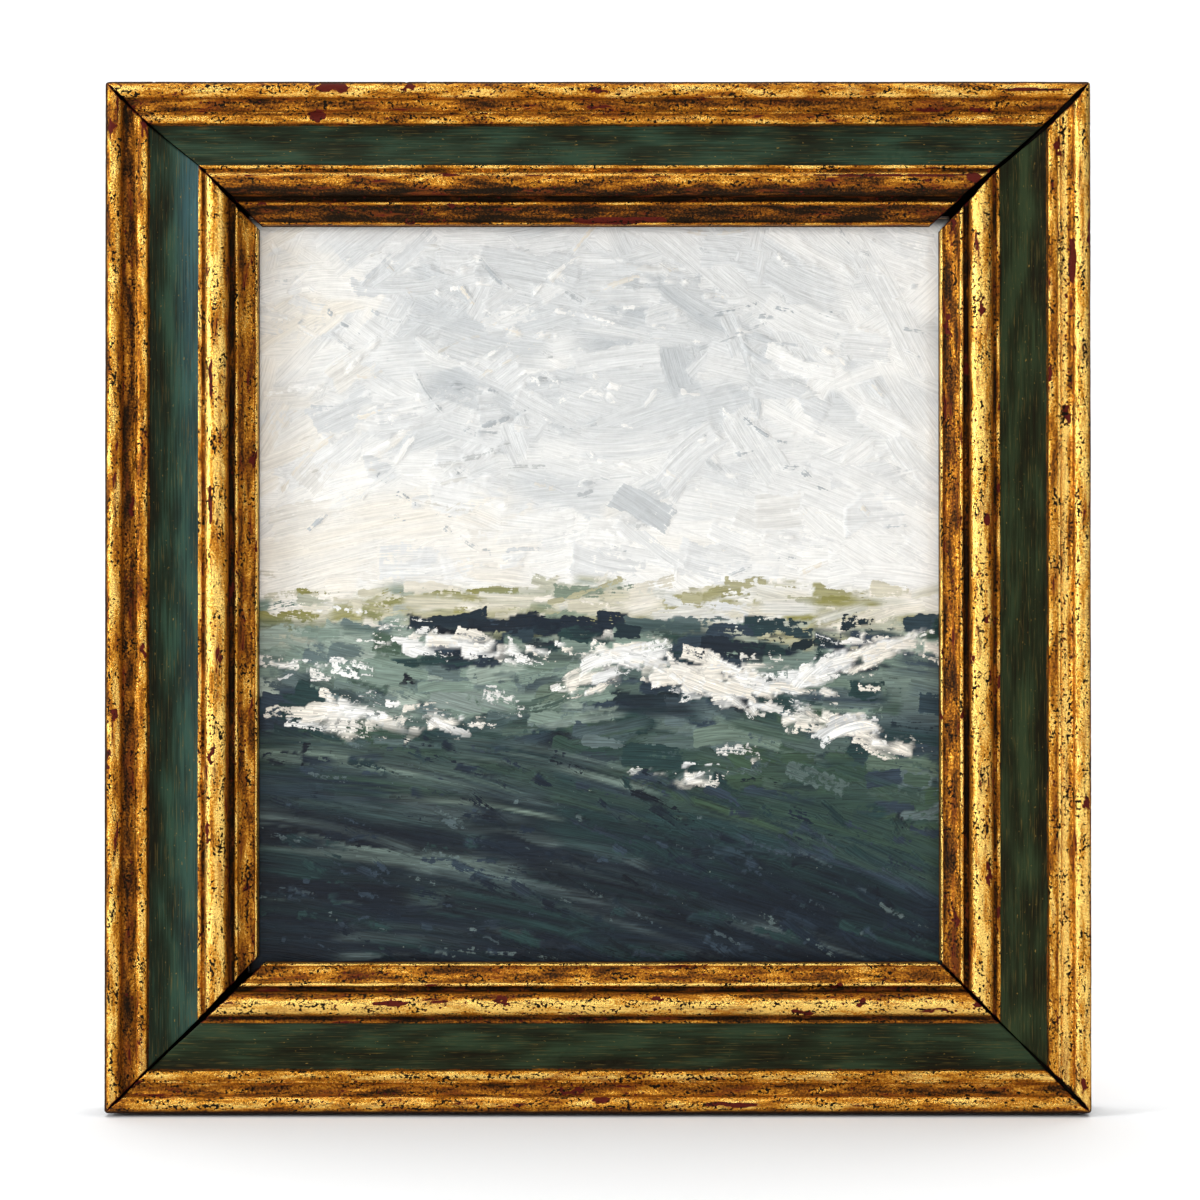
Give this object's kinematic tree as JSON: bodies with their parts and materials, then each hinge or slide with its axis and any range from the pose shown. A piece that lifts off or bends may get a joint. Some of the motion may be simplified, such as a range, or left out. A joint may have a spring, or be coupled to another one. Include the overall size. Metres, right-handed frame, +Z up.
{
  "type": "framed oil painting",
  "caption": "Small seascape in oils on a rigid board, in a worn gilt cassetta frame with a dark green frieze and opened mitres, made to hang on a nail.",
  "frame": {"origin": "middle notch of the sawtooth hanger, on the plane of the frame's back, 26 mm below its top edge and midway across", "axes": "+Z up, -Y the way the picture faces, +Y to the wall, +X to the right of someone who looks at the picture"},
  "size_m": [0.4232, 0.0349, 0.4428],
  "materials": {
    "gilded_wood": "worn gold leaf over red bole, dark green painted frieze, dark brown sides, bare wood back",
    "oil_on_board": "thick oil paint laid on with a knife and brush, satin; board edges and back bare",
    "steel": "dull zinc plating",
    "brass": "plain brass screw heads"
  },
  "bodies": {
    "root": {"rail_top": "gilded_wood", "rail_bottom": "gilded_wood", "rail_left": "gilded_wood", "rail_right": "gilded_wood", "painted_panel": "oil_on_board", "brad_top_1": "steel", "brad_top_2": "steel", "brad_bottom_1": "steel", "brad_bottom_2": "steel", "brad_left_1": "steel", "brad_left_2": "steel", "brad_right_1": "steel", "brad_right_2": "steel", "hanger_plate": "steel", "hanger_screw_left": "brass", "hanger_screw_right": "brass"}
  },
  "joints": []
}
